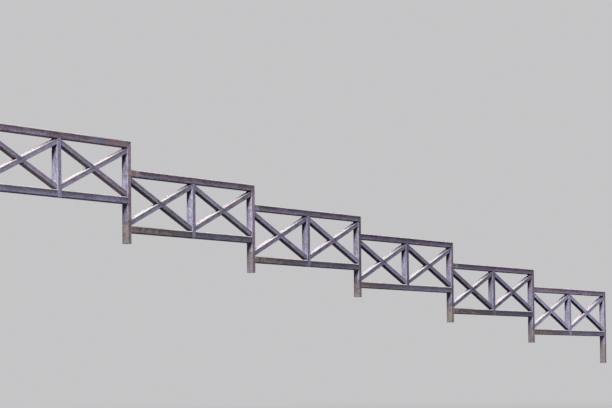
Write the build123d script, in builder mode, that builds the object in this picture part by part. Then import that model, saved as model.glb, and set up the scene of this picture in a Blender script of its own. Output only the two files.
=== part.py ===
# Stepped railing of welded square steel tube, six whole bays.
#
# The railing goes down a slope in level steps. Each bay is a welded frame: a top
# rail, a bottom rail in two lengths, a middle post between them and two X braces. A bay
# ends in a post whose top is mitred to the top rail, and the next bay's rails butt on the
# far face of that post at a lower level. The posts run on below the rails to closed feet.
#
# Frame of the part: +X along the railing, down the steps; +Y away from its open front;
# +Z up. The origin is the middle of the start post's foot face.

import math
import os

from build123d import *

os.makedirs("parts", exist_ok=True)

# Number of bays, and the spacing of their posts from centre to centre
BAY_COUNT = 6
BAY_PITCH = 1500.0

# Height of a bay, from the underside of its bottom rail to the top of its top rail
BAY_HEIGHT = 350.0

# Steps down from each bay to the next; the last one is below the last post
STEP_DROPS = [158.0, 116.0, 112.0, 141.0, 127.0, 146.0]

# Square tube of the posts and rails: its side, wall and outer corner radius
FRAME_SIDE = 40.0
FRAME_WALL = 3.0
FRAME_CORNER = 6.0

# Square tube of the X braces: its side, wall and outer corner radius
BRACE_SIDE = 30.0
BRACE_WALL = 2.5
BRACE_CORNER = 4.0

# How far a post runs on below the lowest rail that is welded to it
FOOT_LENGTH = 60.0

# Plate that closes a post's foot
FOOT_PLATE = 4.0

# Reach of the cutting shapes past the tubes that they cut
CUT_REACH = 2 * FRAME_SIDE


def step_drop(bay):
    """Drop from a bay to the next one; bays are counted from 1."""
    return STEP_DROPS[(bay - 1) % len(STEP_DROPS)]


def bay_top(bay):
    """Height of the top of a bay's top rail."""
    return FOOT_LENGTH + BAY_HEIGHT - sum(step_drop(above) for above in range(1, bay))


def post_middle(number):
    """Distance along the railing of a post; the start post is number 0."""
    return BAY_PITCH * number


def tube_section(side, wall, corner):
    """Draw a square tube's section in the sketch that is open; its bore has plain corners."""
    bore = side - 2 * wall
    RectangleRounded(side, side, corner)
    Rectangle(bore, bore, mode=Mode.SUBTRACT)


def upright_tube(middle, bottom, top):
    """Add a standing length of the frame's tube to the part that is open."""
    with BuildSketch(Plane.XY.offset(bottom)) as section:
        with Locations((middle, 0)):
            tube_section(FRAME_SIDE, FRAME_WALL, FRAME_CORNER)
    extrude(section.sketch, amount=top - bottom)


def level_tube(left, right, bottom):
    """Add a lying length of the frame's tube to the part that is open."""
    with BuildSketch(Plane.YZ.offset(left)) as section:
        with Locations((0, bottom + FRAME_SIDE / 2)):
            tube_section(FRAME_SIDE, FRAME_WALL, FRAME_CORNER)
    extrude(section.sketch, amount=right - left)


def mitre(corner, top, rail_side, piece):
    """Cut a tube to 45 degrees at a frame's outer top corner.

    rail_side is +1 where the rail runs on to the right of the corner, and -1 to the left.
    A post loses what is above the slanting cut, and a rail loses what is below it.
    """
    far = corner + rail_side * CUT_REACH
    waste_corner = {"post": (far, top), "rail": (corner, top - CUT_REACH)}[piece]
    with BuildSketch(Plane.XZ.offset(-FRAME_SIDE)) as waste:
        with BuildLine():
            Polyline((corner, top), waste_corner, (far, top - CUT_REACH), close=True)
        make_face()
    extrude(waste.sketch, amount=2 * FRAME_SIDE, mode=Mode.SUBTRACT)


def keep(piece, name):
    """Label a finished piece and write it to its file."""
    piece.part.label = name
    export_step(piece.part, f"parts/{name}.step")


def make_post(name, middle, top, foot, rail_side):
    """End post of a bay: mitred to the top rail, and closed by a plate at its foot."""
    with BuildPart() as post:
        upright_tube(middle, foot, top)
        with BuildSketch(Plane.XY.offset(foot)):
            with Locations((middle, 0)):
                RectangleRounded(FRAME_SIDE, FRAME_SIDE, FRAME_CORNER)
        extrude(amount=FOOT_PLATE)
        mitre(middle - rail_side * FRAME_SIDE / 2, top, rail_side, "post")
    keep(post, name)


def make_top_rail(name, left, right, top, starts_railing):
    """Top rail of a bay; the first one is mitred to the start post as well."""
    with BuildPart() as top_rail:
        level_tube(left, right, top - FRAME_SIDE)
        mitre(right, top, -1, "rail")
        if starts_railing:
            mitre(left, top, 1, "rail")
    keep(top_rail, name)


def make_bottom_rail(name, left, right, bottom):
    """Length of bottom rail between a post and the middle post, cut square."""
    with BuildPart() as bottom_rail:
        level_tube(left, right, bottom)
    keep(bottom_rail, name)


def make_middle_post(name, middle, bottom, top):
    """Middle post, from the bottom rail's underside to the top rail's."""
    with BuildPart() as middle_post:
        upright_tube(middle, bottom, top)
    keep(middle_post, name)


def brace_slope(width, height):
    """Slope in radians of a bar whose outer edges run into two corners of its opening."""
    diagonal = math.hypot(width, height)
    return math.atan2(height, width) - math.asin(BRACE_SIDE / diagonal)


def make_cross_brace(name, left, right, bottom, top):
    """X brace that fills the opening from a post to the middle post.

    The bar that falls to the right runs through. The one that rises to the right is in
    two halves, welded against it, and all four ends are cut upright against the posts.
    """
    width = right - left
    height = top - bottom
    slope = brace_slope(width, height)
    bore_side = BRACE_SIDE - 2 * BRACE_WALL
    middle = ((left + right) / 2, 0, (bottom + top) / 2)
    along_halves = (math.cos(slope), 0, math.sin(slope))
    along_through = (math.cos(slope), 0, -math.sin(slope))
    halves_plane = Plane(origin=middle, x_dir=(0, 1, 0), z_dir=along_halves)
    through_plane = Plane(origin=middle, x_dir=(0, 1, 0), z_dir=along_through)

    # The bore of the two halves stops at the sides of the bar that runs through
    with BuildPart() as halves_bore:
        with BuildSketch(halves_plane):
            Rectangle(bore_side, bore_side)
        extrude(amount=width, both=True)
        with BuildSketch(through_plane):
            Rectangle(BRACE_SIDE, BRACE_SIDE)
        extrude(amount=width, both=True, mode=Mode.SUBTRACT)

    with BuildPart() as cross_brace:
        for bar_plane in (halves_plane, through_plane):
            with BuildSketch(bar_plane):
                RectangleRounded(BRACE_SIDE, BRACE_SIDE, BRACE_CORNER)
            extrude(amount=width, both=True)
        add(halves_bore.part, mode=Mode.SUBTRACT)
        with BuildSketch(through_plane):
            Rectangle(bore_side, bore_side)
        extrude(amount=width, both=True, mode=Mode.SUBTRACT)
        with BuildSketch(Plane.XZ.offset(-BRACE_SIDE)):
            with Locations((middle[0], middle[2])):
                Rectangle(width, 2 * height)
        extrude(amount=2 * BRACE_SIDE, mode=Mode.INTERSECT)
    keep(cross_brace, name)


# The start post closes the upper end of the first bay
make_post("start_post", post_middle(0), bay_top(1), 0.0, 1)

for bay in range(1, BAY_COUNT + 1):
    top = bay_top(bay)
    bottom = top - BAY_HEIGHT
    lower_edge = bottom + FRAME_SIDE
    upper_edge = top - FRAME_SIDE

    # Faces of the posts that the bay's pieces are welded to
    far_face = post_middle(bay) + FRAME_SIDE / 2
    near_face = post_middle(bay) - FRAME_SIDE / 2
    start_face = post_middle(bay - 1) + FRAME_SIDE / 2
    middle = (start_face + near_face) / 2
    middle_left = middle - FRAME_SIDE / 2
    middle_right = middle + FRAME_SIDE / 2

    # The post stands deeper than the bottom rail of the bay below it
    foot = bottom - step_drop(bay) - FOOT_LENGTH
    make_post(f"post_{bay}", post_middle(bay), top, foot, -1)

    # The first top rail runs on over the start post to its outer face
    rail_start = start_face - FRAME_SIDE if bay == 1 else start_face
    make_top_rail(f"top_rail_{bay}", rail_start, far_face, top, bay == 1)
    make_bottom_rail(f"bottom_rail_{bay}_left", start_face, middle_left, bottom)
    make_bottom_rail(f"bottom_rail_{bay}_right", middle_right, near_face, bottom)
    make_middle_post(f"middle_post_{bay}", middle, bottom, upper_edge)
    make_cross_brace(f"cross_brace_{bay}_left", start_face, middle_left, lower_edge, upper_edge)
    make_cross_brace(f"cross_brace_{bay}_right", middle_right, near_face, lower_edge, upper_edge)
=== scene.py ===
# %% [markdown]
# # A stepped iron railing
#
# The object is a low railing welded from square steel tube. It goes down a slope in level
# steps, so each bay hangs a little lower than the one before. The CAD model already holds
# every tube at its real size. What is left for this lesson is what a camera sees: the
# brushed paint, the rust that comes through it, the weld beads that hold the tubes, and the
# light.
#
# The frame is loaded first, because everything else is placed by it.

# %% Load the frame
import bpy
import math
from mathutils import Matrix, Vector


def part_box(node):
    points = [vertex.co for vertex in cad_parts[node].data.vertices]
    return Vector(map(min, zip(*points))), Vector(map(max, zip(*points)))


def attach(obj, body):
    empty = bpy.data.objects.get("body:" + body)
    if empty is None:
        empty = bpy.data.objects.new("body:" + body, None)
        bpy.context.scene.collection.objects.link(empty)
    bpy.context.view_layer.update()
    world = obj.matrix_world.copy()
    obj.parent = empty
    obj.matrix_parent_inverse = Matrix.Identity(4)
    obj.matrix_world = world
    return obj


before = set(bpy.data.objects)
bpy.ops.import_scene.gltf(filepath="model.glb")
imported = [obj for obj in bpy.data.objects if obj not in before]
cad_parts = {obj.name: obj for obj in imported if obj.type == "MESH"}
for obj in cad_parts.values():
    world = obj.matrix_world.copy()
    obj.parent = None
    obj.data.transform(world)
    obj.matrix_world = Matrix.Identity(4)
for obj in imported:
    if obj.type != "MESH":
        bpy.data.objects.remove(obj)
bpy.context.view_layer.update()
bpy.ops.object.select_all(action="DESELECT")

# %% [markdown]
# The tubes' sides and corner radii are needed again here, for the bands where paint wears
# thin and for the places of the welds. The bays and their heights are read from the frame,
# so that they are never typed twice.

# %% Sizes of the railing, in metres
FRAME_SIDE = 0.040
FRAME_CORNER = 0.006
BRACE_SIDE = 0.030
BRACE_CORNER = 0.004

bay_numbers = sorted(int(name.split("_")[-1]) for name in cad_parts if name.startswith("top_rail_"))


def measure_bay(number):
    """Top and underside of a bay, and where each of its two openings starts and ends."""
    left_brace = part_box(f"cross_brace_{number}_left")
    right_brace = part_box(f"cross_brace_{number}_right")
    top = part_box(f"top_rail_{number}")[1].z
    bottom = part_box(f"bottom_rail_{number}_left")[0].z
    openings = [(low.x, high.x) for low, high in (left_brace, right_brace)]
    return {"top": top, "bottom": bottom, "openings": openings}


bays = {number: measure_bay(number) for number in bay_numbers}
opening_start, opening_end = bays[1]["openings"][0]
opening_width = opening_end - opening_start
opening_height = bays[1]["top"] - bays[1]["bottom"] - 2 * FRAME_SIDE
brace_slope = math.atan2(opening_height, opening_width) - math.asin(
    BRACE_SIDE / math.hypot(opening_width, opening_height))
print("bays:", len(bays), "opening:", round(opening_width, 3), "x", round(opening_height, 3))
print("slope of the braces:", round(math.degrees(brace_slope), 2), "degrees")

# %% [markdown]
# ## The camera
#
# The picture was taken with a long lens from low down and near the upper end, so the bays
# bunch together towards the right. A camera is a place, three turns and a lens. The turns
# are easiest to read as yaw (how far the view swings from the railing's own line), pitch
# and roll, so the camera's three axes are worked out from those.

# %% Set up the camera
CAMERA_PLACE = Vector((-12.659, -7.996, -0.931))
CAMERA_YAW = math.radians(25.973)
CAMERA_PITCH = math.radians(3.465)
CAMERA_ROLL = math.radians(-0.580)
CAMERA_LENS = 173.68
CAMERA_REACH = 300

forward = Vector((math.cos(CAMERA_YAW) * math.cos(CAMERA_PITCH),
                  math.sin(CAMERA_YAW) * math.cos(CAMERA_PITCH), math.sin(CAMERA_PITCH)))
level_right = Vector((math.sin(CAMERA_YAW), -math.cos(CAMERA_YAW), 0))
level_up = level_right.cross(forward)
right = math.cos(CAMERA_ROLL) * level_right + math.sin(CAMERA_ROLL) * level_up
up = right.cross(forward)

camera = bpy.data.objects.new("camera", bpy.data.cameras.new("camera"))
bpy.context.scene.collection.objects.link(camera)
camera.data.lens = CAMERA_LENS
camera.data.clip_end = CAMERA_REACH
turn = Matrix((right, up, -forward)).transposed().to_4x4()
camera.matrix_world = Matrix.Translation(CAMERA_PLACE) @ turn
bpy.context.scene.camera = camera
print("camera at", tuple(CAMERA_PLACE), "lens", CAMERA_LENS)

# %% [markdown]
# ## Small helpers for nodes
#
# Every finish below is a node tree. Written out socket by socket it would be hard to follow,
# so one helper adds a node and fills its inputs, and the others name the steps that come up
# again and again.


# %% Helpers for node trees
def put(tree, kind, inputs=None, **settings):
    """Add a node, set its options, and fill its inputs with values or with other outputs."""
    node = tree.nodes.new(kind)
    for option, setting in settings.items():
        setattr(node, option, setting)
    for key, given in (inputs or {}).items():
        if isinstance(given, bpy.types.NodeSocket):
            tree.links.new(given, node.inputs[key])
        else:
            node.inputs[key].default_value = given
    return node


def worked_out(tree, operation, first, second=0.0, clamp=False):
    """Result of a Math node."""
    return put(tree, "ShaderNodeMath", {0: first, 1: second}, operation=operation, use_clamp=clamp).outputs[0]


def plus(tree, first, second, clamp=False):
    """Sum of two values."""
    return worked_out(tree, "ADD", first, second, clamp)


def minus(tree, first, second):
    """First value less the second."""
    return worked_out(tree, "SUBTRACT", first, second)


def times(tree, first, second, clamp=False):
    """Product of two values."""
    return worked_out(tree, "MULTIPLY", first, second, clamp)


def size_of(tree, value):
    """Value without its sign."""
    return worked_out(tree, "ABSOLUTE", value)


def vector_math(tree, operation, first, second=(0, 0, 0)):
    """Outputs of a Vector Math node, of which Vector or Value holds the result."""
    return put(tree, "ShaderNodeVectorMath", {0: first, 1: second}, operation=operation).outputs


def axes_of(tree, vector):
    """X, Y and Z of a vector."""
    return put(tree, "ShaderNodeSeparateXYZ", {0: vector}).outputs


def rise(tree, value, start, end):
    """0 up to start, 1 from end on, and a smooth rise between them."""
    inputs = {"Value": value, "From Min": start, "From Max": end}
    return put(tree, "ShaderNodeMapRange", inputs, interpolation_type="SMOOTHSTEP").outputs["Result"]


def mixed(tree, factor, first, second):
    """Colour between two colours."""
    return put(tree, "ShaderNodeMix", {0: factor, 6: first, 7: second}, data_type="RGBA").outputs[2]


def scaled(tree, colour, factor):
    """Colour made lighter or darker by a factor."""
    return put(tree, "ShaderNodeVectorMath", {0: colour, "Scale": factor}, operation="SCALE").outputs[0]


def noise(tree, vector, scale, detail, roughness=0.55):
    """Grey value of a noise texture."""
    inputs = {"Vector": vector, "Scale": scale, "Detail": detail, "Roughness": roughness}
    return put(tree, "ShaderNodeTexNoise", inputs).outputs["Fac"]


def new_group(name, inputs, outputs):
    """Empty shader node group; an input is a name, a kind and a value, an output a name and a kind."""
    tree = bpy.data.node_groups.new(name, "ShaderNodeTree")
    for label, kind, value in inputs:
        socket = tree.interface.new_socket(label, in_out="INPUT", socket_type="NodeSocket" + kind)
        socket.default_value = value
    for label, kind in outputs:
        tree.interface.new_socket(label, in_out="OUTPUT", socket_type="NodeSocket" + kind)
    return tree, tree.nodes.new("NodeGroupInput").outputs


def give_out(tree, **results):
    """Link results to a group's outputs by their names, and give the finished group."""
    output = tree.nodes.new("NodeGroupOutput")
    for label, value in results.items():
        tree.links.new(value, output.inputs[label])
    return tree


def use(tree, group, inputs):
    """Place a node group in a tree, and give its outputs."""
    return put(tree, "ShaderNodeGroup", inputs, node_tree=group).outputs


print("helpers ready")

# %% [markdown]
# ## Floor, sky and lamps
#
# The camera looks up at the railing, so the floor is a plain pale sheet well below the feet,
# lower than the camera. Light from below would grey the tubes' undersides, which are nearly
# black on the real railing. So the floor and the sky are pale only where they are looked at,
# directly or in a reflection, and dimmer as sources of light.
# Far out the floor turns into the colour of the sky, so that no horizon cuts the picture.

# %% Floor
FLOOR_LEVEL = -1.25
FLOOR_SIDE = 400
FLOOR_NEAR = 14
FLOOR_FAR = 34
PALE = (0.56, 0.56, 0.57, 1)
FLOOR_TONE = (0.16, 0.16, 0.165, 1)
FLOOR_BOUNCE = (0.07, 0.07, 0.07, 1)
FLOOR_GLOW = (0.28, 0.28, 0.285, 1)
BLACK = (0, 0, 0, 1)


def seen_or_mirrored(tree):
    """1 where a ray comes from the camera, from a glossy surface or through glass."""
    path = put(tree, "ShaderNodeLightPath").outputs
    seen = worked_out(tree, "MAXIMUM", path["Is Camera Ray"], path["Is Glossy Ray"])
    return worked_out(tree, "MAXIMUM", seen, path["Is Transmission Ray"])


bpy.ops.mesh.primitive_plane_add(size=FLOOR_SIDE, location=(0, 0, FLOOR_LEVEL))
floor = bpy.context.object
floor.name = "floor"
floor_paper = bpy.data.materials.new("floor_paper")
floor_paper.use_nodes = True
tree = floor_paper.node_tree
paper = tree.nodes["Principled BSDF"]
seen = seen_or_mirrored(tree)
place = put(tree, "ShaderNodeTexCoord").outputs["Object"]
distance = vector_math(tree, "LENGTH", place)["Value"]
far = rise(tree, distance, FLOOR_NEAR, FLOOR_FAR)
floor_colour = mixed(tree, seen, FLOOR_BOUNCE, mixed(tree, far, FLOOR_TONE, BLACK))
tree.links.new(floor_colour, paper.inputs["Base Color"])
tree.links.new(mixed(tree, far, FLOOR_GLOW, PALE), paper.inputs["Emission Color"])
tree.links.new(seen, paper.inputs["Emission Strength"])
paper.inputs["Roughness"].default_value = 1.0
paper.inputs["Specular IOR Level"].default_value = 0.0
floor.data.materials.append(floor_paper)
print("floor at", FLOOR_LEVEL, "m")

# %% Sky
SKY_LIGHT = (0.90, 0.95, 1.0, 1)
SKY_STRENGTH = 0.06

world = bpy.data.worlds.new("sky")
world.use_nodes = True
tree = world.node_tree
pale_sky = put(tree, "ShaderNodeBackground", {"Color": PALE, "Strength": 1.0})
light_sky = put(tree, "ShaderNodeBackground", {"Color": SKY_LIGHT, "Strength": SKY_STRENGTH})
sky = put(tree, "ShaderNodeMixShader",
          {0: seen_or_mirrored(tree), 1: light_sky.outputs[0], 2: pale_sky.outputs[0]})
tree.links.new(sky.outputs[0], tree.nodes["World Output"].inputs["Surface"])
bpy.context.scene.world = world
bpy.context.scene.view_settings.view_transform = "Standard"
print("sky seen at", PALE[:3], "and shining at", SKY_STRENGTH)

# %% [markdown]
# Three sun lamps stand for softboxes so large and far away that all six bays get the same
# light. The key comes down along the railing from its upper end and only a little from the
# front. It lights the left faces of the posts and still more the tops of the rising bars, and
# draws a bright line along the upper edges of the rails and down the posts' left corners, but
# only grazes the open fronts. Under each corner it leaves a black wedge. A weak and cool lamp
# fills the fronts. The last hangs behind the lower end, and lights the backs and the right
# faces, which only other views show.


# %% Lamps
LAMP_DISTANCE = 20


def softbox(name, towards, level, spread, colour):
    """Broad sun lamp that shines from a direction; a white face turned to it renders at that level."""
    lamp = bpy.data.objects.new(name, bpy.data.lights.new(name, "SUN"))
    lamp.data.energy = level * math.pi
    lamp.data.angle = math.radians(spread)
    lamp.data.color = colour
    lamp.location = Vector(towards) * LAMP_DISTANCE
    lamp.rotation_euler = Vector(towards).to_track_quat("Z", "Y").to_euler()
    bpy.context.scene.collection.objects.link(lamp)
    return lamp


softbox("key_lamp", towards=(-0.64, -0.27, 0.72), level=1.72, spread=24, colour=(1.0, 0.97, 0.95))
softbox("front_lamp", towards=(0.32, -0.84, 0.43), level=0.13, spread=30, colour=(0.80, 0.90, 1.0))
softbox("rear_lamp", towards=(0.62, 0.74, 0.26), level=0.60, spread=45, colour=(1.0, 0.97, 0.95))
print("lamps:", [lamp.name for lamp in bpy.data.lights])

# %% [markdown]
# ## Where a point lies on its tube
#
# A finish has to know where it is: brush strokes run along a tube, and paint wears thin on
# its corners. The object's own coordinates give a point in the frame of the whole railing.
# From them and the tube's axis, two dot products give how far along the tube the point is
# and how far across.


# %% Group: place on a tube
EDGE_INSIDE = 0.0025
EDGE_OUTSIDE = 0.0035


def build_tube_place():
    """Distances along, across and into a tube, and a mask of its rounded corners."""
    tree, given = new_group(
        "tube_place",
        [("Position", "Vector", (0, 0, 0)), ("Axis", "Vector", (1, 0, 0)), ("Aside", "Vector", (0, 0, 1)),
         ("Middle", "Vector", (0, 0, 0)), ("Flat", "Float", 0.014)],
        [("Stroke", "Vector"), ("Across", "Float"), ("Corner", "Float")])
    offset = vector_math(tree, "SUBTRACT", given["Position"], given["Middle"])["Vector"]
    along = vector_math(tree, "DOT_PRODUCT", offset, given["Axis"])["Value"]
    across = vector_math(tree, "DOT_PRODUCT", offset, given["Aside"])["Value"]
    depth = axes_of(tree, offset)["Y"]
    inner_edge = minus(tree, given["Flat"], EDGE_INSIDE)
    outer_edge = plus(tree, given["Flat"], EDGE_OUTSIDE)
    near_side = rise(tree, size_of(tree, across), inner_edge, outer_edge)
    near_front = rise(tree, size_of(tree, depth), inner_edge, outer_edge)
    stroke = put(tree, "ShaderNodeCombineXYZ", {0: along, 1: across, 2: depth})
    return give_out(tree, Stroke=stroke.outputs[0], Across=across, Corner=times(tree, near_side, near_front))


tube_place = build_tube_place()
print("tube_place nodes:", len(tube_place.nodes))

# %% [markdown]
# ## Brushed paint
#
# The railing was painted by hand, in place. A brush leaves fine ridges along the tube, the
# coat is thicker here and thinner there, and years of rain have turned it chalky in
# cloudy patches. One group gives it all: cloud, smear and speck for the colour, and a height
# for the bump. The vector is squeezed along the tube, so that noise comes out as strokes.


# %% Group: brushed paint
PATCH_STROKE = (4.5, 22)
SMEAR_STROKE = (16, 120)
RIDGE_STROKE = (10, 520)
PEEL_STROKE = (260, 260)
PATCH_PART = 0.65
RIDGE_PART = 0.6
CLOUD_RANGE = (0.40, 0.60)


def build_brushed_paint():
    """Cloudy tone of an old coat, and the height of its brush marks."""
    tree, given = new_group(
        "brushed_paint", [("Stroke", "Vector", (0, 0, 0)), ("Seed", "Vector", (0, 0, 0))],
        [("Cloud", "Float"), ("Smear", "Float"), ("Speck", "Float"), ("Height", "Float")])

    def strokes(stroke, detail):
        along, aside = stroke
        squeezed = vector_math(tree, "MULTIPLY", given["Stroke"], (along, aside, aside))["Vector"]
        return noise(tree, vector_math(tree, "ADD", squeezed, given["Seed"])["Vector"], 1.0, detail)

    patches = strokes(PATCH_STROKE, 4.0)
    smears = strokes(SMEAR_STROKE, 3.0)
    ridges = strokes(RIDGE_STROKE, 2.0)
    peel = strokes(PEEL_STROKE, 2.0)
    cloud = plus(tree, times(tree, patches, PATCH_PART), times(tree, smears, 1 - PATCH_PART))
    height = plus(tree, times(tree, ridges, RIDGE_PART), times(tree, peel, 1 - RIDGE_PART))
    return give_out(tree, Cloud=rise(tree, cloud, *CLOUD_RANGE), Smear=smears, Speck=peel, Height=height)


brushed_paint = build_brushed_paint()
print("brushed_paint nodes:", len(brushed_paint.nodes))

# %% [markdown]
# ## Rust
#
# Rust starts where the coat is thin or broken: at the welds, on corners and in pin holes.
# Its edge is never a line. A ragged noise is compared with a threshold, and the threshold
# drops where rust is likely, so that one group serves every place. At an amount of 0 it
# never shows, and at 1 it covers nearly everything.


# %% Group: rust bloom
RUST_DARK = (0.085, 0.048, 0.036, 1)
RUST_BRIGHT = (0.21, 0.105, 0.06, 1)
RUST_COARSE = 42
RUST_FINE = 260
COARSE_PART = 0.75
RUST_NEVER = 0.80
RUST_DROP = 0.45
RUST_EDGE = (-0.02, 0.035)
RUST_TONE_RANGE = (0.35, 0.65)


def build_rust_bloom():
    """Ragged mask of rust, its two tones and its rough height."""
    tree, given = new_group(
        "rust_bloom", [("Position", "Vector", (0, 0, 0)), ("Amount", "Float", 0.2)],
        [("Mask", "Float"), ("Color", "Color"), ("Height", "Float")])
    coarse = noise(tree, given["Position"], RUST_COARSE, 6, 0.66)
    fine = noise(tree, given["Position"], RUST_FINE, 3, 0.6)
    ragged = plus(tree, times(tree, coarse, COARSE_PART), times(tree, fine, 1 - COARSE_PART))
    threshold = minus(tree, RUST_NEVER, times(tree, given["Amount"], RUST_DROP))
    mask = rise(tree, minus(tree, ragged, threshold), *RUST_EDGE)
    colour = mixed(tree, rise(tree, fine, *RUST_TONE_RANGE), RUST_DARK, RUST_BRIGHT)
    return give_out(tree, Mask=mask, Color=colour, Height=times(tree, mask, fine))


rust_bloom = build_rust_bloom()
print("rust_bloom nodes:", len(rust_bloom.nodes))

# %% [markdown]
# ## Weather
#
# Upward faces bleach and hold dust, and the bleached colour that they get is lighter still,
# a painted highlight on the tops that face the light. Undersides get a dark colour, which is
# painted shade, and grime makes them rougher. The direction that a face looks in decides
# that, so it is read from the normal, which stays put when the camera moves.


# %% Group: weather
BLEACH_AND_HIGHLIGHT_RISE = (0.03, 0.50)
BLEACH_AND_HIGHLIGHT_LEAST = 0.80
FACING_DOWN_RISE = (0.40, 0.95)


def build_weather():
    """Share of bleaching with its painted highlight, and of painted shade with grime, that a face gets from
    the way it looks.
    """
    tree, given = new_group(
        "weather", [("Normal", "Vector", (0, 0, 1)), ("Cloud", "Float", 0.5)],
        [("Bleach", "Float"), ("Grime", "Float")])
    upward = axes_of(tree, given["Normal"])["Z"]
    # Painted highlight: faces that look up get the bleached colour, lighter than bleaching alone.
    bleach = rise(tree, upward, *BLEACH_AND_HIGHLIGHT_RISE)
    bleach = times(tree, bleach, plus(tree, BLEACH_AND_HIGHLIGHT_LEAST, given["Cloud"]), clamp=True)
    # Painted shade: faces that look down get a dark colour by this mask, and grime roughness.
    grime = rise(tree, times(tree, upward, -1.0), *FACING_DOWN_RISE)
    return give_out(tree, Bleach=bleach, Grime=grime)


weather = build_weather()
print("weather nodes:", len(weather.nodes))

# %% [markdown]
# ## Distance to the welds
#
# Every rail and brace ends on an upright, and the uprights stand at one even spacing. A
# ping-pong sum folds the whole length of the railing onto half a space, so that one number
# says how far any point is from the nearest upright's axis.


# %% Group: weld zone
UPRIGHT_SPACING = 0.75
POST_PITCH = 2 * UPRIGHT_SPACING
WELD_CORE = 0.002
WELD_REACH = 0.024
CROSSING_CORE = 0.018
CROSSING_REACH = 0.05


def build_weld_zone():
    """1 at the ends of rails and bars and at their crossings, falling to 0 a little way off."""
    tree, given = new_group(
        "weld_zone", [("Position", "Vector", (0, 0, 0)), ("Crossing", "Float", 0.0)], [("Near", "Float")])
    along = axes_of(tree, given["Position"])["X"]
    folded = worked_out(tree, "PINGPONG", along, UPRIGHT_SPACING / 2)
    from_face = size_of(tree, minus(tree, folded, FRAME_SIDE / 2))
    from_crossing = minus(tree, UPRIGHT_SPACING / 2, folded)
    at_end = minus(tree, 1.0, rise(tree, from_face, WELD_CORE, WELD_REACH))
    at_crossing = minus(tree, 1.0, rise(tree, from_crossing, CROSSING_CORE, CROSSING_REACH))
    at_crossing = times(tree, at_crossing, given["Crossing"])
    return give_out(tree, Near=worked_out(tree, "MAXIMUM", at_end, at_crossing))


weld_zone = build_weld_zone()
print("weld_zone nodes:", len(weld_zone.nodes))

# %% [markdown]
# ## Marks of their own
#
# A few marks are not spread by chance: the brown primer that was brushed on the bare left
# end of two top rails, with a pale smear beyond it, a rust run down a post below such an
# end, and single spots. Each is a soft-edged patch at a place of its own, so they share
# one group, and noise frays its edge.


# %% Group: patch
FRAY_SIZE = 95
FRAY_DEPTH = 2.2
PATCH_EDGE = (0.75, 1.1)


def build_patch():
    """Frayed patch about a point, seen from the front; Size is its half width and half height."""
    tree, given = new_group(
        "patch", [("Position", "Vector", (0, 0, 0)), ("Centre", "Vector", (0, 0, 0)),
                  ("Size", "Vector", (0.01, 1, 0.01))],
        [("Mask", "Float")])
    offset = vector_math(tree, "SUBTRACT", given["Position"], given["Centre"])["Vector"]
    shares = vector_math(tree, "DIVIDE", offset, given["Size"])["Vector"]
    distance = vector_math(tree, "LENGTH", shares)["Value"]
    ragged = minus(tree, noise(tree, given["Position"], FRAY_SIZE, 5, 0.75), 0.5)
    frayed = plus(tree, distance, times(tree, ragged, FRAY_DEPTH))
    return give_out(tree, Mask=minus(tree, 1.0, rise(tree, frayed, *PATCH_EDGE)))


patch = build_patch()
print("groups:", [group.name for group in bpy.data.node_groups])

# %% [markdown]
# ## One finish for every tube
#
# All tubes wear the same coat, so one function writes the material. What differs is where
# the axis runs, how warm and how dark the coat is, and the marks that a tube has of its own.
# The shader stays in the material, and constant values are set on its own sockets.

# %% Colours of the finishes
COOL_PAINT = (0.222, 0.210, 0.325)
# Coat of an upright's side faces, which their side tone makes lighter as painted light.
WARM_PAINT = (0.300, 0.222, 0.295)
SIDE_FACE_COAT = (0.230, 0.222, 0.300)
CHALK = (0.385, 0.365, 0.500, 1)
# Bleached paint, lighter than bleaching alone would make it: it also carries a painted highlight for the
# upward faces.
BLEACHED_WITH_HIGHLIGHT = (0.620, 0.565, 0.575, 1)
# Light colour of the rounded corners: worn paint, and a painted highlight where the light catches them.
WORN_AND_HIGHLIT_EDGE = (0.460, 0.410, 0.470, 1)
# Dark colour for grime near the welds, and for painted shade on undersides and in the wedges under the rails.
GRIME_AND_SHADE = (0.042, 0.028, 0.029, 1)
TIDE_MARK = (0.120, 0.085, 0.070, 1)
MORTAR = (0.340, 0.298, 0.285, 1)
MORTAR_DARK = (0.180, 0.148, 0.145, 1)
PRIMER = (0.315, 0.188, 0.142, 1)
RAW_PRIMER = (0.230, 0.125, 0.095, 1)
PALE_SMEAR = (0.420, 0.380, 0.500, 1)
ORANGE = (0.560, 0.230, 0.080, 1)
RUN_OFF = (0.360, 0.290, 0.250, 1)
LICHEN = (0.225, 0.235, 0.205, 1)
BROWN_WASH = (0.300, 0.215, 0.235, 1)
BLUE_WASH = (0.205, 0.200, 0.290, 1)


def coat_colour(warmth, tone, blue=1.0):
    """Paint between the cool and the warm one, lighter or darker by a tone, and bluer by a factor."""
    red, green, violet = (cool + warmth * (warm - cool) for cool, warm in zip(COOL_PAINT, WARM_PAINT))
    return (tone * red, tone * green, tone * blue * violet, 1)


def toned(colour, tone):
    """Colour made lighter or darker by a tone."""
    return tuple(tone * channel for channel in colour[:3]) + (1,)


def new_material(name):
    """Empty material, its tree, and the place and normal of the point that it colours."""
    material = bpy.data.materials.new(name)
    material.use_nodes = True
    tree = material.node_tree
    position = put(tree, "ShaderNodeTexCoord").outputs["Object"]
    return material, tree, position, put(tree, "ShaderNodeNewGeometry").outputs["Normal"]


def finish_shader(tree, colour, rough, height, bump_strength, bump_depth, specular):
    """Feed the material's own shader with colour, roughness and a bump from the height."""
    bump = put(tree, "ShaderNodeBump", {"Height": height, "Strength": bump_strength, "Distance": bump_depth})
    shader = tree.nodes["Principled BSDF"]
    shader.inputs["Specular IOR Level"].default_value = specular
    tree.links.new(colour, shader.inputs["Base Color"])
    tree.links.new(rough, shader.inputs["Roughness"])
    tree.links.new(bump.outputs[0], shader.inputs["Normal"])


print("plain coat:", tuple(round(channel, 3) for channel in coat_colour(0.5, 1.0)))

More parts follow.
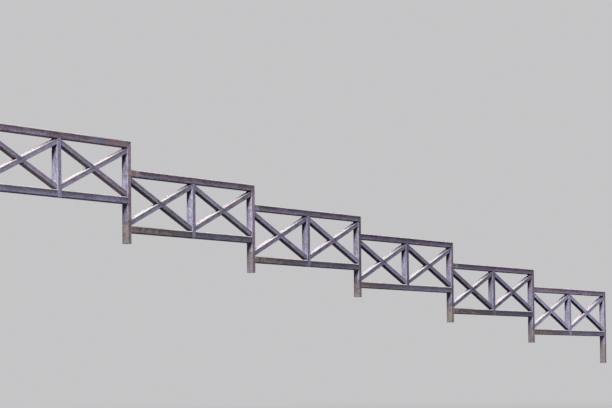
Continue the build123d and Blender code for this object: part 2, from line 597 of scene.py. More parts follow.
# %% [markdown]
# A brace has two bars in one piece, so its place is worked out twice, and the bar whose axis
# is nearer gives the direction of the brush. Rust likes welds best, then corners. On an
# upright the welds lie at the levels of the rails, and elsewhere the weld zone knows them.

# %% Place on the bars, and likelihood of rust
UPRIGHT_WELD_REACH = 0.022
WELD_RUST = 0.26
CORNER_RUST = 0.20


def place_on_bars(tree, position, bars, side, corner):
    """Stroke vector, distance across and corner mask on the nearest bar, and a mask of the second bar."""
    places = []
    for axis, middle in bars:
        inputs = {"Position": position, "Axis": axis, "Aside": Vector((-axis.z, 0, axis.x)),
                  "Middle": middle, "Flat": side / 2 - corner}
        places.append(use(tree, tube_place, inputs))
    first = places[0]
    if len(places) == 1:
        return first["Stroke"], first["Across"], first["Corner"], None
    second = places[1]
    on_second = worked_out(tree, "LESS_THAN", size_of(tree, second["Across"]), size_of(tree, first["Across"]))
    strokes = {0: on_second, 4: first["Stroke"], 5: second["Stroke"]}
    stroke = put(tree, "ShaderNodeMix", strokes, data_type="VECTOR").outputs[1]
    across = put(tree, "ShaderNodeMix", {0: on_second, 2: first["Across"], 3: second["Across"]}).outputs[0]
    return stroke, across, worked_out(tree, "MAXIMUM", first["Corner"], second["Corner"]), on_second


def near_welds(tree, position, crossing, levels):
    """1 at a weld, falling to 0 a little way off; an upright's welds lie at the given levels."""
    if not levels:
        return use(tree, weld_zone, {"Position": position, "Crossing": crossing})["Near"]
    height = axes_of(tree, position)["Z"]
    nearest = None
    for level in levels:
        gap = size_of(tree, minus(tree, height, level))
        nearest = gap if nearest is None else worked_out(tree, "MINIMUM", nearest, gap)
    return minus(tree, 1.0, rise(tree, nearest, WELD_CORE, UPRIGHT_WELD_REACH))


def rust_on(tree, position, spread, near_weld, corner_mask):
    """Rust bloom that grows with the closeness of welds and corners."""
    amount = plus(tree, spread, times(tree, near_weld, WELD_RUST))
    amount = plus(tree, amount, times(tree, corner_mask, CORNER_RUST))
    return use(tree, rust_bloom, {"Position": position, "Amount": amount})


print("rust reaches", UPRIGHT_WELD_REACH * 1000, "mm from a weld on an upright")

# %% [markdown]
# The coat is not one flat colour. An upright's side faces are painted lighter than its front,
# which is painted light, and the front of a lying tube is darker along its upper half and lighter
# at its lower edge, which is painted shade and painted light. A warm wash comes and goes along
# the railing, and clouds, mottles and chalky smears break up the rest. Each is a mix or a
# multiplication of the coat's colour, from the coarsest to the finest.

# %% Coat of one tube
FACING_OUT = (0.4, 0.9)
# Painted shade and light on a lying tube's front: warmer and darker above, cooler and lighter below.
UPPER_WARMER = 0.5
LOWER_COOLER = 0.1
WASH_SIZE = 5.5
WASH_RANGE = (0.44, 0.66)
WASH_SHARE = 0.20
WASH_SHARE_OF_WARM = 0.60
WASH_WARMTH = 1.35
WASH_TONE = 0.88
CLOUD_TONES = (0.75, 1.25)
MOTTLE_SIZE = 85
MOTTLE_RANGE = (0.36, 0.64)
MOTTLE_TONES = (0.72, 1.28)
CHALK_RANGE = (0.52, 0.74)
CHALK_SHARE = 0.42


def shaded(tree, colour, mask, tones):
    """Colour scaled by the first tone where the mask is 0 and by the second where it is 1."""
    return scaled(tree, colour, plus(tree, tones[0], times(tree, mask, tones[1] - tones[0])))


def upright_coat(tree, normal, warmth, tone, blue, side_tone):
    """Coat of an upright, with painted light on its side faces, and a mask of the faces that look out."""
    facing_out = rise(tree, size_of(tree, axes_of(tree, normal)["Y"]), *FACING_OUT)
    return mixed(tree, facing_out, toned(SIDE_FACE_COAT, side_tone), coat_colour(warmth, tone, blue)), facing_out


def lying_coat(tree, across, side, corner, warmth, tone, blue, shades):
    """Coat of a rail or a brace, with painted shade along its upper edge and painted light along its lower
    one.
    """
    painted_light_and_shade_ramp = rise(tree, across, side / 2 - corner, corner / 3 - side / 2)
    upper = coat_colour(warmth + UPPER_WARMER, shades[0] * tone, blue)
    lower = coat_colour(warmth - LOWER_COOLER, shades[1] * tone, blue)
    return mixed(tree, painted_light_and_shade_ramp, upper, lower)


def broken_up(tree, colour, position, paint, warmth, tone, blue, facing_out, second_bar):
    """Coat with its warm wash, clouds, mottles and chalky smears; second_bar is a mask and a tone."""
    wash = times(tree, rise(tree, noise(tree, position, WASH_SIZE, 3, 0.6), *WASH_RANGE), facing_out)
    colour = mixed(tree, times(tree, wash, WASH_SHARE + WASH_SHARE_OF_WARM * warmth), colour,
                   coat_colour(WASH_WARMTH, WASH_TONE * tone, blue))
    if second_bar[0] is not None:
        colour = shaded(tree, colour, second_bar[0], (1.0, second_bar[1]))
    colour = shaded(tree, colour, paint["Cloud"], CLOUD_TONES)
    mottle = rise(tree, noise(tree, position, MOTTLE_SIZE, 3, 0.7), *MOTTLE_RANGE)
    colour = shaded(tree, colour, mottle, MOTTLE_TONES)
    chalky = times(tree, rise(tree, paint["Smear"], *CHALK_RANGE), CHALK_SHARE)
    return mixed(tree, chalky, colour, toned(CHALK, tone))


print("clouds scale the coat by", CLOUD_TONES)

# %% [markdown]
# A rail shades what hangs under it, and that shade is painted into the coat too: the upper
# ends of the braces stay less bleached, a painted shade, and on the left face of each upright a
# wedge is painted dark, a painted shadow. The wedge's lower line slants at the angle at which
# the light of the key lamp comes in under the rail.

# %% Bleached colour with painted highlight, worn and highlighted corners, painted shade under the rails
BLEACH_AND_HIGHLIGHT_SHARE = 0.90
# Painted shade under a rail: the upper ends of the braces lose this share of the bleached colour.
RAIL_SHADE_LOW = 0.075
RAIL_SHADE_HIGH = 0.025
RAIL_SHADE_SHARE = 0.55
# Shares of the corner colour: worn paint with a painted highlight.
WORN_RANGE = (0.36, 0.56)
WORN_AND_HIGHLIT_UPRIGHT = 0.38
WORN_AND_HIGHLIT_LYING = 0.30
# Share of painted shade on the undersides.
UNDERSIDE_SHADE_SHARE = 0.97
# Painted shadow: the dark wedge on an upright's left face under the rail slants as the key lamp's light does.
WEDGE_SLANT = 2.67
WEDGE_EDGE = (-0.034, -0.006)
WEDGE_FACING = (0.5, 0.9)
SHADOW_WEDGE_SHARE = 0.80


def bleach_and_highlight_share(tree, air, position, eaves):
    """Share of the bleached colour with its painted highlight, less of it close under the rail at the height
    eaves, which is painted shade.
    """
    bleach = times(tree, air["Bleach"], BLEACH_AND_HIGHLIGHT_SHARE)
    if eaves is None:
        return bleach
    # Painted shade close under the rail.
    under_rail = rise(tree, axes_of(tree, position)["Z"], eaves - RAIL_SHADE_LOW, eaves - RAIL_SHADE_HIGH)
    return times(tree, bleach, minus(tree, 1.0, times(tree, under_rail, RAIL_SHADE_SHARE)))


def painted_shadow_wedge(tree, position, normal, eaves, side):
    """Share of painted shadow in the wedge of a left face under the rail."""
    place = axes_of(tree, position)
    lower_line = minus(tree, eaves - WEDGE_SLANT * side / 2, times(tree, place["Y"], WEDGE_SLANT))
    facing_up_end = times(tree, axes_of(tree, normal)["X"], -1.0)
    wedge = times(tree, rise(tree, minus(tree, place["Z"], lower_line), *WEDGE_EDGE),
                  rise(tree, facing_up_end, *WEDGE_FACING))
    below_rail = worked_out(tree, "LESS_THAN", place["Z"], eaves)
    return times(tree, times(tree, wedge, below_rail), SHADOW_WEDGE_SHARE)


print("wedge slants by", round(math.degrees(math.atan(WEDGE_SLANT)), 1), "degrees")

# %% [markdown]
# The feet and the ends of some lower rails were bedded in mortar. It left a damp brown stain
# and, a little lower, a broken crust. The line between clean and stained steel wanders, so a
# noise is added to its height before it is compared with the height of the point.

# %% Mortar crust
LINE_WANDER = 0.05
WANDER_SIZE = 38
LUMP_SIZE = 26
GRIT_SIZE = 150
TIDE_EDGE = (-0.012, 0.020)
TIDE_SHARE = 0.50
CRUST_EDGE = (0.020, 0.034)
LUMP_RANGE = (0.42, 0.54)
GRIT_RANGE = (0.4, 0.62)
CRUST_ROUGHNESS = 0.4
CRUST_HEIGHT = 0.8


def with_mortar(tree, colour, rough, height, position, mortar_line):
    """Colour, roughness and height with the stain and crust below a line through two points."""
    (left_x, left_z), (right_x, right_z) = mortar_line
    place = axes_of(tree, position)
    slope = (right_z - left_z) / (right_x - left_x)
    line = plus(tree, times(tree, place["X"], slope), left_z - slope * left_x)
    wander = times(tree, noise(tree, position, WANDER_SIZE, 5, 0.62), LINE_WANDER)
    below = minus(tree, plus(tree, line, wander), place["Z"])
    tide = times(tree, rise(tree, below, *TIDE_EDGE), TIDE_SHARE)
    grit = noise(tree, position, GRIT_SIZE, 4, 0.7)
    lumps = rise(tree, noise(tree, position, LUMP_SIZE, 4, 0.6), *LUMP_RANGE)
    crust = times(tree, rise(tree, below, *CRUST_EDGE), lumps)
    crust_colour = mixed(tree, rise(tree, grit, *GRIT_RANGE), MORTAR_DARK, MORTAR)
    colour = mixed(tree, crust, mixed(tree, tide, colour, TIDE_MARK), crust_colour)
    rough = plus(tree, rough, times(tree, crust, CRUST_ROUGHNESS), clamp=True)
    height = plus(tree, height, times(tree, crust, plus(tree, grit, CRUST_HEIGHT)))
    return colour, rough, height


print("the stain starts within", LINE_WANDER * 1000, "mm of its line")

# %% [markdown]
# Now the layers go over each other, from the coat outwards. Each is a colour of its own,
# mixed in by a mask, so a layer can be changed without touching those below it.

# %% Material of a painted tube
STROKE_SEED = 7.3
RUST_SPREAD = 0.04
DIRT_RANGE = (0.35, 0.7)
DIRT_SHARE = 0.30
COAT_ROUGHNESS = 0.44
CLOUD_ROUGHNESS = 0.14
RUST_ROUGHNESS = 0.35
GRIME_ROUGHNESS = 0.45
BRUSH_HEIGHT = 0.5
RUST_HEIGHT = 1.6
BUMP_STRENGTH = 0.5
BUMP_DEPTH = 0.0008
COAT_SPECULAR = 0.10
# Tones of a brace's upper and lower edge: painted shade and painted light.
LYING_SHADES = (0.70, 1.60)


def tube_finish(name, bars, side, corner, warmth, tone, blue=1.0, under=GRIME_AND_SHADE, crossing=0.0,
                shades=LYING_SHADES, side_tone=1.0, second_tone=1.0, levels=(), eaves=None, marks=(),
                mortar_line=None):
    """Material of one painted tube.

    bars: axis and middle of each bar. under: colour of an underside, painted shade. crossing: 1
    where two bars cross. shades: tones of a lying tube's upper and lower edge, painted shade
    and painted light. side_tone: tone of an upright's left and right face, painted light.
    second_tone: tone of a brace's second bar. levels: heights of an upright's welds. eaves:
    height of the rail that casts painted shade on an upright's left face or the top of a
    brace. marks: colour, centre, size and strength of each patch. mortar_line: two points of
    the line below which mortar sticks to the tube.
    """
    material, tree, position, normal = new_material(name)
    upright = bool(levels)

    stroke, across, corner_mask, on_second = place_on_bars(tree, position, bars, side, corner)
    paint = use(tree, brushed_paint, {"Stroke": stroke, "Seed": Vector(bars[0][1]) * STROKE_SEED})
    air = use(tree, weather, {"Normal": normal, "Cloud": paint["Cloud"]})
    near_weld = near_welds(tree, position, crossing, levels)
    bloom = rust_on(tree, position, RUST_SPREAD, near_weld, corner_mask)

    # Colour, from the coat outwards
    if upright:
        colour, facing_out = upright_coat(tree, normal, warmth, tone, blue, side_tone)
    else:
        colour, facing_out = lying_coat(tree, across, side, corner, warmth, tone, blue, shades), 1.0
    second_bar = (on_second, second_tone)
    colour = broken_up(tree, colour, position, paint, warmth, tone, blue, facing_out, second_bar)
    # Bleached colour on the upward faces: bleaching and a painted highlight.
    colour = mixed(tree, bleach_and_highlight_share(tree, air, position, None if upright else eaves), colour, BLEACHED_WITH_HIGHLIGHT)
    # Worn corners with a painted highlight.
    worn = times(tree, corner_mask, rise(tree, paint["Smear"], *WORN_RANGE))
    colour = mixed(tree, times(tree, worn, WORN_AND_HIGHLIT_UPRIGHT if upright else WORN_AND_HIGHLIT_LYING), colour, WORN_AND_HIGHLIT_EDGE)
    # Painted shade: undersides are mixed towards a dark colour.
    colour = mixed(tree, times(tree, air["Grime"], UNDERSIDE_SHADE_SHARE), colour, under)
    # Painted shadow: a dark wedge on an upright's left face, under the rail.
    if upright and eaves is not None:
        colour = mixed(tree, painted_shadow_wedge(tree, position, normal, eaves, side), colour, GRIME_AND_SHADE)
    dirt = times(tree, near_weld, rise(tree, paint["Speck"], *DIRT_RANGE))
    colour = mixed(tree, times(tree, dirt, DIRT_SHARE), colour, GRIME_AND_SHADE)
    for mark_colour, centre, size, strength in marks:
        mask = use(tree, patch, {"Position": position, "Centre": centre, "Size": size})["Mask"]
        colour = mixed(tree, times(tree, mask, strength), colour, mark_colour)
    colour = mixed(tree, bloom["Mask"], colour, bloom["Color"])

    # Roughness and height, and what mortar adds to all three
    rough = plus(tree, COAT_ROUGHNESS, times(tree, paint["Cloud"], CLOUD_ROUGHNESS))
    rough = plus(tree, rough, times(tree, bloom["Mask"], RUST_ROUGHNESS))
    rough = plus(tree, rough, times(tree, air["Grime"], GRIME_ROUGHNESS), clamp=True)
    height = plus(tree, times(tree, paint["Height"], BRUSH_HEIGHT), times(tree, bloom["Height"], RUST_HEIGHT))
    if mortar_line is not None:
        colour, rough, height = with_mortar(tree, colour, rough, height, position, mortar_line)
    finish_shader(tree, colour, rough, height, BUMP_STRENGTH, BUMP_DEPTH, COAT_SPECULAR)
    return material


print("finish ready")

# %% [markdown]
# ## Dressing the tubes
#
# Each tube gets a material of its own, because its axis, its welds and its marks are its
# own. The light is not the same from bay to bay either, and it is painted into the coat as
# painted light and shade: the first bay is lighter, the fourth and fifth are the darkest, and
# the last is lit most. So each kind of tube has a tone for every bay, counted from 1. Posts are
# counted from the start post, which is number 0.

# %% Tones for each bay and post
# The tone tables below are painted light and shade: light that differs from bay to bay and from face to face.
BEAD_TONES = {1: 1.10, 2: 0.86, 3: 0.82, 4: 0.75, 5: 0.70, 6: 1.10}
TOP_RAIL_TONES = {1: 0.92, 2: 0.75, 3: 0.75, 4: 0.60, 5: 0.62, 6: 0.92}
# Tones of each top rail's upper and lower edge: painted shade and painted light.
TOP_RAIL_SHADES = {1: (0.36, 1.25), 2: (0.30, 1.27), 3: (0.16, 1.30),
                   4: (0.05, 1.33), 5: (0.14, 1.30), 6: (0.20, 1.30)}
BOTTOM_RAIL_TONES = {1: 0.69, 2: 0.44, 3: 0.38, 4: 0.47, 5: 0.32, 6: 0.50}
# Tones of the bottom rails' upper and lower edge: painted shade and painted light.
BOTTOM_RAIL_SHADES = (0.70, 1.90)
BRACE_TONES = {"1_left": (1.08, 0.94), "1_right": (0.86, 0.76), "2_left": (0.66, 0.62),
               "2_right": (0.59, 0.88), "3_left": (0.50, 0.78), "3_right": (0.44, 1.00),
               "4_left": (0.50, 0.79), "4_right": (0.42, 0.50), "5_left": (0.32, 0.40),
               "5_right": (0.26, 0.69), "6_left": (1.12, 1.55), "6_right": (1.15, 1.56)}
MIDDLE_POST_TONES = {1: 1.41, 2: 1.03, 3: 0.91, 4: 0.51, 5: 0.58, 6: 1.27}
# Tones of the middle posts' side faces: painted light.
MIDDLE_SIDE_TONES = {1: 1.24, 2: 1.62, 3: 1.17, 4: 1.25, 5: 1.08, 6: 1.34}
POST_TONES = {0: 1.00, 1: 0.96, 2: 1.01, 3: 0.48, 4: 0.60, 5: 0.61, 6: 0.86}
# Tones of the posts' side faces: painted light.
POST_SIDE_TONES = {0: 1.27, 1: 1.13, 2: 1.47, 3: 1.13, 4: 0.96, 5: 1.08, 6: 1.28}
BLUENESS = {0: 1.00, 1: 1.00, 2: 1.04, 3: 1.12, 4: 1.24, 5: 1.28, 6: 1.10}
# Painted shade on the undersides of each bay, darkening from the first bay to the last.
UNDERSIDE_SHADE_COLOURS = {1: (0.262, 0.185, 0.198, 1), 2: (0.115, 0.098, 0.104, 1), 3: (0.084, 0.063, 0.077, 1),
              4: (0.052, 0.041, 0.056, 1), 5: (0.054, 0.042, 0.050, 1), 6: (0.022, 0.012, 0.015, 1)}
TOP_RAIL_BLUE_SHARE = 0.7
TOP_RAIL_WARMTH = 0.55
POST_WARMTH = 0.50
PLAIN_WARMTH = 0.0
BRACE_WARMTH = -0.1
print("tones for", len(TOP_RAIL_TONES), "bays and", len(POST_TONES), "posts")

# %% Marks, and the line of the mortar at each post
MORTAR_LEVELS = {0: 0.030, 1: -0.048, 2: -0.168, 3: -0.302, 4: -0.414, 5: -0.555, 6: -0.674}
RAIL_MARKS = {
    1: [(BROWN_WASH, (1.355, -0.02, 0.385), (0.115, 0.03, 0.040), 0.55),
        (BLUE_WASH, (1.160, -0.02, 0.390), (0.090, 0.03, 0.040), 0.45),
        (LICHEN, (1.445, -0.02, 0.388), (0.045, 0.03, 0.016), 0.5),
        (PRIMER, (1.321, -0.02, 0.388), (0.004, 0.03, 0.030), 0.5)],
    2: [(ORANGE, (3.004, -0.016, 0.249), (0.014, 0.03, 0.007), 0.55),
        (PALE_SMEAR, (1.588, -0.02, 0.232), (0.024, 0.06, 0.03), 0.50),
        (PRIMER, (1.520, -0.02, 0.232), (0.048, 0.08, 0.08), 0.92),
        (RAW_PRIMER, (1.540, -0.02, 0.210), (0.034, 0.02, 0.006), 0.8)],
    3: [(PALE_SMEAR, (3.045, -0.02, 0.116), (0.028, 0.06, 0.03), 0.50)],
    5: [(PALE_SMEAR, (6.072, -0.02, -0.137), (0.028, 0.06, 0.03), 0.45),
        (RAW_PRIMER, (6.020, -0.02, -0.137), (0.018, 0.08, 0.08), 0.85)],
}
POST_MARKS = {
    1: [(RUN_OFF, (1.514, -0.02, 0.212), (0.009, 0.03, 0.046), 0.6),
        (RAW_PRIMER, (1.516, -0.02, 0.20), (0.006, 0.03, 0.035), 0.4)],
    2: [(RUN_OFF, (3.015, -0.02, 0.212), (0.008, 0.03, 0.040), 0.5),
        (ORANGE, (3.010, -0.018, 0.246), (0.014, 0.03, 0.009), 0.6)],
    4: [(RAW_PRIMER, (6.014, -0.02, -0.165), (0.010, 0.05, 0.075), 0.70)],
}
BRACE_MARKS = {"2_right": [(ORANGE, (2.825, -0.012, 0.152), (0.010, 0.02, 0.007), 0.55)]}
print("nodes with marks:", len(RAIL_MARKS) + len(POST_MARKS) + len(BRACE_MARKS))

# %% Directions of the tubes
ALONG = Vector((1, 0, 0))
UPRIGHT = Vector((0, 0, 1))
RISING = Vector((math.cos(brace_slope), 0, math.sin(brace_slope)))
FALLING = Vector((math.cos(brace_slope), 0, -math.sin(brace_slope)))


def wear(node_name, axes, **finish):
    """Give a CAD node a finish of its own, named after the node."""
    low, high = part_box(node_name)
    bars = [(axis, (low + high) / 2) for axis in axes]
    braced = node_name.startswith("cross_brace")
    side, corner = (BRACE_SIDE, BRACE_CORNER) if braced else (FRAME_SIDE, FRAME_CORNER)
    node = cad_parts[node_name]
    node.data.materials.clear()
    node.data.materials.append(tube_finish(node_name + "_paint", bars, side, corner, **finish))


print("rising bar:", tuple(round(part, 3) for part in RISING))

# %% Paint on the rails, middle posts and braces
for number, bay in bays.items():
    under = UNDERSIDE_SHADE_COLOURS[number]
    blue = BLUENESS[number]
    eaves = bay["top"] - FRAME_SIDE
    weld_levels = (eaves, bay["bottom"] + FRAME_SIDE, bay["bottom"])
    mortar_line = ((POST_PITCH * (number - 1), MORTAR_LEVELS[number - 1]),
                   (POST_PITCH * number, MORTAR_LEVELS[number]))
    wear(f"top_rail_{number}", [ALONG], warmth=TOP_RAIL_WARMTH, tone=TOP_RAIL_TONES[number],
         blue=1.0 + TOP_RAIL_BLUE_SHARE * (blue - 1.0), under=under, shades=TOP_RAIL_SHADES[number],
         marks=RAIL_MARKS.get(number, ()))
    wear(f"middle_post_{number}", [UPRIGHT], warmth=PLAIN_WARMTH, tone=MIDDLE_POST_TONES[number], blue=blue,
         side_tone=MIDDLE_SIDE_TONES[number], levels=weld_levels, eaves=eaves, mortar_line=mortar_line)
    for half in ("left", "right"):
        wear(f"bottom_rail_{number}_{half}", [ALONG], warmth=PLAIN_WARMTH, tone=BOTTOM_RAIL_TONES[number],
             under=under, shades=BOTTOM_RAIL_SHADES, mortar_line=mortar_line)
        rising_tone, falling_tone = BRACE_TONES[f"{number}_{half}"]
        wear(f"cross_brace_{number}_{half}", [RISING, FALLING], warmth=BRACE_WARMTH, tone=rising_tone,
             blue=blue, second_tone=falling_tone / rising_tone, under=under, crossing=1.0, eaves=eaves,
             marks=BRACE_MARKS.get(f"{number}_{half}", ()))
print("bays painted:", len(bays))

# %% Paint on the posts
for number in range(len(bays) + 1):
    post = f"post_{number}" if number else "start_post"
    weld_levels = []
    for bay in (bays.get(number), bays.get(number + 1)):
        if bay:
            weld_levels += [bay["top"], bay["top"] - FRAME_SIDE, bay["bottom"] + FRAME_SIDE, bay["bottom"]]
    level = MORTAR_LEVELS[number]
    mortar_line = ((POST_PITCH * number - FRAME_SIDE, level), (POST_PITCH * number + FRAME_SIDE, level))
    wear(post, [UPRIGHT], warmth=POST_WARMTH, tone=POST_TONES[number], blue=BLUENESS[number],
         side_tone=POST_SIDE_TONES[number], levels=weld_levels,
         eaves=bays[number]["top"] - FRAME_SIDE if number else None, mortar_line=mortar_line,
         marks=POST_MARKS.get(number, ()))
print("materials:", len(bpy.data.materials))

# %% [markdown]
# ## Weld beads
#
# Nothing but welds holds this railing together, and each is a short row of ripples, one for
# every beat of the welder's hand. One ripple is a flattened, leaning drop. It is modelled
# once from a sphere of few faces and copied into a row, with every copy a little off the
# line, as the hand was. The row is then copied to every joint. Beads in the V between two
# faces stand a little proud. The ones at the sides of the frame fill the groove that two
# rounded tubes leave, nearly flush with the faces.

# %% Helpers for meshes
def join(pieces, name):
    """Join mesh objects into the first of them."""
    bpy.ops.object.select_all(action="DESELECT")
    for piece in pieces:
        piece.select_set(True)
    bpy.context.view_layer.objects.active = pieces[0]
    bpy.ops.object.join()
    pieces[0].name = name
    return pieces[0]


def copy_of(model, name):
    """Copy of an object with a mesh of its own."""
    copy = bpy.data.objects.new(name, model.data.copy())
    bpy.context.scene.collection.objects.link(copy)
    return copy


print("mesh helpers ready")

# %% Model one row of ripples
RIPPLE_STEP = 0.0019
RIPPLE_WIDTH = 0.0072
RIPPLE_FLATNESS = (0.50, 1, 0.86)
RIPPLE_LEAN = math.radians(34)
RIPPLE_UNEVENNESS = 0.00018
ROW_RIPPLES = 14
END_RIPPLE_SIZE = 0.72
HAND_SIDEWAYS = 0.0004
HAND_UP = 0.0002
HAND_SWELL = 0.09
ROW_OVERHANG = 0.6 * RIPPLE_WIDTH


def model_ripple():
    """One ripple at the origin: a flattened sphere that leans along X."""
    bpy.ops.object.select_all(action="DESELECT")
    bpy.ops.mesh.primitive_uv_sphere_add(segments=8, ring_count=5, radius=RIPPLE_WIDTH / 2,
                                         rotation=(0, math.radians(90), 0))
    ripple = bpy.context.object
    ripple.name = "ripple_model"
    bpy.ops.object.transform_apply(rotation=True)
    bpy.ops.object.mode_set(mode="EDIT")
    bpy.ops.mesh.select_all(action="SELECT")
    bpy.ops.transform.resize(value=RIPPLE_FLATNESS, center_override=(0, 0, 0))
    bpy.ops.transform.rotate(value=RIPPLE_LEAN, orient_axis="Y", center_override=(0, 0, 0))
    bpy.ops.transform.vertex_random(offset=RIPPLE_UNEVENNESS, uniform=1.0, normal=0.0, seed=4)
    bpy.ops.object.mode_set(mode="OBJECT")
    return ripple


def model_row():
    """Row of ripples along X, centred on the origin; every ripple is a little off the line."""
    ripple = model_ripple()
    row = []
    for place in range(ROW_RIPPLES):
        wander = math.sin(2.4 * place) * math.cos(1.1 * place)
        at_end = place in (0, ROW_RIPPLES - 1)
        size = END_RIPPLE_SIZE if at_end else 1.0 + HAND_SWELL * wander
        along = RIPPLE_STEP * (place - (ROW_RIPPLES - 1) / 2)
        shift = Matrix.Translation((along, HAND_SIDEWAYS * wander, HAND_UP * wander))
        copy = copy_of(ripple, "ripple")
        copy.data.transform(shift @ Matrix.Scale(size, 4))
        row.append(copy)
    bpy.data.objects.remove(ripple)
    return join(row, "weld_row")


weld_row = model_row()
row_length = RIPPLE_STEP * (ROW_RIPPLES - 1) + ROW_OVERHANG
print("row:", ROW_RIPPLES, "ripples,", round(row_length * 1000, 1), "mm")

# %% [markdown]
# A bead is given by its two ends and its thickness. The row is fitted to that length, and a
# longer seam is laid as two beads, so that the ripples keep their shape. A little turn and
# size of its own keep each copy from looking stamped. A sine of its place stands in for
# chance, so that every run lays the same beads.


# %% Place a bead
SWAY_SIZE = 0.07
SWAY_TURN = 0.6


def bead(start, end, width):
    """Copy of the row from start to end, as thick as width."""
    start, end = Vector(start), Vector(end)
    along = end - start
    copy = copy_of(weld_row, "bead")
    sway = math.sin(917.0 * (start.x + 2.3 * start.z + 5.1 * end.y))
    size = width / RIPPLE_WIDTH * (1.0 + SWAY_SIZE * sway)
    turn = along.to_track_quat("X", "Z").to_matrix().to_4x4() @ Matrix.Rotation(SWAY_TURN * sway, 4, "X")
    scale = Matrix.Diagonal((along.length / row_length, size, size, 1))
    copy.data.transform(Matrix.Translation((start + end) / 2) @ turn @ scale)
    return copy


def across_bead(x, z, half, width):
    """Bead from front to back in the corner at x and z."""
    return bead((x, -half, z), (x, half, z), width)


print("bead helpers ready")

# %% Beads of one bay
V_BEAD = 0.0066
GROOVE_BEAD = 0.0062
BRACE_BEAD = 0.0052
FRAME_FLAT = FRAME_SIDE / 2 - FRAME_CORNER
BRACE_FLAT = BRACE_SIDE / 2 - BRACE_CORNER
GROOVE_SINK = 0.54
GROOVE_DEPTH = FRAME_SIDE / 2 - GROOVE_SINK * GROOVE_BEAD
END_CLEARANCE = 0.003
CUT_CLEARANCE = 0.002
SEAM_SINK = 0.0016
SIDES = (-1, 1)


def brace_beads(left, right, bottom, top):
    """Beads round the ends of an X brace and round its crossing."""
    beads = []
    cut = BRACE_SIDE / math.cos(brace_slope)
    front = BRACE_SIDE / 2
    for x in (left, right):
        for z, inward in ((bottom, 1), (top, -1)):
            beads.append(across_bead(x, z + inward * cut, BRACE_FLAT, BRACE_BEAD))
            for side in SIDES:
                y = side * front
                start, end = z + inward * END_CLEARANCE, z + inward * (cut - CUT_CLEARANCE)
                beads.append(bead((x, y, start), (x, y, end), BRACE_BEAD))

    # Corners of the diamond where the bars meet, and the seams along the bar that runs through
    middle = Vector(((left + right) / 2, 0, (bottom + top) / 2))
    wide = Vector((BRACE_SIDE / 2 / math.sin(brace_slope), 0, 0))
    tall = Vector((0, 0, BRACE_SIDE / 2 / math.cos(brace_slope)))
    for corner in (middle + wide, middle - wide, middle + tall, middle - tall):
        beads.append(across_bead(corner.x, corner.z, BRACE_FLAT, BRACE_BEAD))
    for side in SIDES:
        y = Vector((0, side * (front - SEAM_SINK), 0))
        for a, b in ((middle + tall, middle + wide), (middle - wide, middle - tall)):
            halfway = (a + b) / 2
            beads.append(bead(a + y, halfway + y, BRACE_BEAD))
            beads.append(bead(halfway + y, b + y, BRACE_BEAD))
    return beads


def bay_beads(number, bay):
    """All beads of a bay, joined in one piece."""
    beads = []
    top, bottom = bay["top"], bay["bottom"]
    upper, lower = top - FRAME_SIDE, bottom + FRAME_SIDE
    (first, middle_left), (middle_right, last) = bay["openings"]
    for left, right in bay["openings"]:
        beads += brace_beads(left, right, lower, upper)
        for x in (left, right):
            beads += [across_bead(x, z, FRAME_FLAT, V_BEAD) for z in (lower, upper)]
            for side in SIDES:
                y = side * GROOVE_DEPTH
                beads.append(bead((x, y, bottom + FRAME_CORNER), (x, y, lower - FRAME_CORNER), GROOVE_BEAD))
    beads += [across_bead(x, bottom, FRAME_FLAT, V_BEAD) for x in (first, last)]
    start, end = middle_left + FRAME_CORNER, middle_right - FRAME_CORNER
    for side in SIDES:
        y = side * GROOVE_DEPTH
        beads.append(bead((start, y, upper), (end, y, upper), GROOVE_BEAD))
        if number > 1:
            beads.append(bead((first, y, upper + FRAME_CORNER), (first, y, top - FRAME_CORNER), GROOVE_BEAD))
    if number > 1:
        beads.append(across_bead(first, top, FRAME_FLAT, V_BEAD))
    count = len(beads)
    piece = join(beads, f"weld_beads_bay_{number}")
    bpy.ops.object.shade_smooth()
    return piece, count


print("middle of a groove bead:", round((FRAME_SIDE / 2 - GROOVE_DEPTH) * 1000, 1), "mm under the face")

# %% [markdown]
# The beads were painted over with the tubes. Their metal is rough and pitted, so rust comes
# through there first, and their finish is the same coat with far more of it.

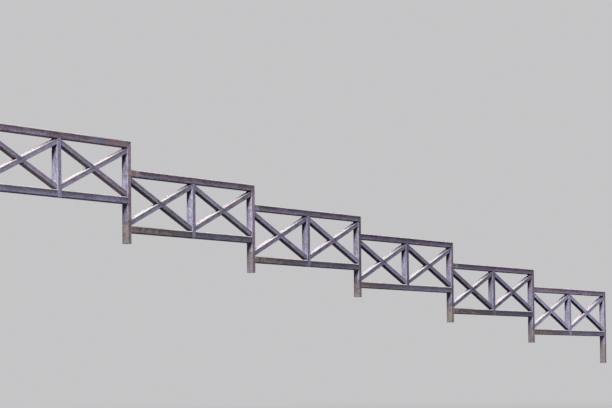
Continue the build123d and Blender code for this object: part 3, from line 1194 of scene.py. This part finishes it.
# %% Paint on the beads
BEAD_WARMTH = (0.3, 0.2)
BEAD_SHADES = (0.62, 1.10)
BEAD_CLOUD_SIZE = 30
BEAD_CLOUD_RANGE = (0.38, 0.62)
BEAD_GRAIN_SIZE = 900
BEAD_RUST = 0.50
BEAD_BLEACH_AND_HIGHLIGHT = 0.6
BEAD_SHADE_AND_GRIME = 0.85
BEAD_ROUGHNESS = 0.5
BEAD_BUMP_STRENGTH = 0.4
BEAD_BUMP_DEPTH = 0.0003
BEAD_SPECULAR = 0.40


def bead_finish(name, tone):
    """Material of painted weld metal, with rust breaking through."""
    material, tree, position, normal = new_material(name)
    cloud = rise(tree, noise(tree, position, BEAD_CLOUD_SIZE, 4, 0.6), *BEAD_CLOUD_RANGE)
    air = use(tree, weather, {"Normal": normal, "Cloud": cloud})
    bloom = use(tree, rust_bloom, {"Position": position, "Amount": BEAD_RUST})
    dark, light = (coat_colour(warmth, shade * tone) for warmth, shade in zip(BEAD_WARMTH, BEAD_SHADES))
    colour = mixed(tree, cloud, dark, light)
    # Bleached colour with a painted highlight on upward faces, and painted shade with grime on undersides.
    colour = mixed(tree, times(tree, air["Bleach"], BEAD_BLEACH_AND_HIGHLIGHT), colour, BLEACHED_WITH_HIGHLIGHT)
    colour = mixed(tree, times(tree, air["Grime"], BEAD_SHADE_AND_GRIME), colour, GRIME_AND_SHADE)
    colour = mixed(tree, bloom["Mask"], colour, bloom["Color"])
    rough = plus(tree, BEAD_ROUGHNESS, times(tree, bloom["Mask"], RUST_ROUGHNESS))
    grain = noise(tree, position, BEAD_GRAIN_SIZE, 2, 0.5)
    finish_shader(tree, colour, rough, grain, BEAD_BUMP_STRENGTH, BEAD_BUMP_DEPTH, BEAD_SPECULAR)
    return material


for number, bay in bays.items():
    beads, count = bay_beads(number, bay)
    beads.data.materials.clear()
    beads.data.materials.append(bead_finish(f"weld_beads_bay_{number}_paint", BEAD_TONES[number]))
    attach(beads, "root")
    print("bay", number, "has", count, "beads,", len(beads.data.polygons), "faces")
bpy.data.objects.remove(weld_row)
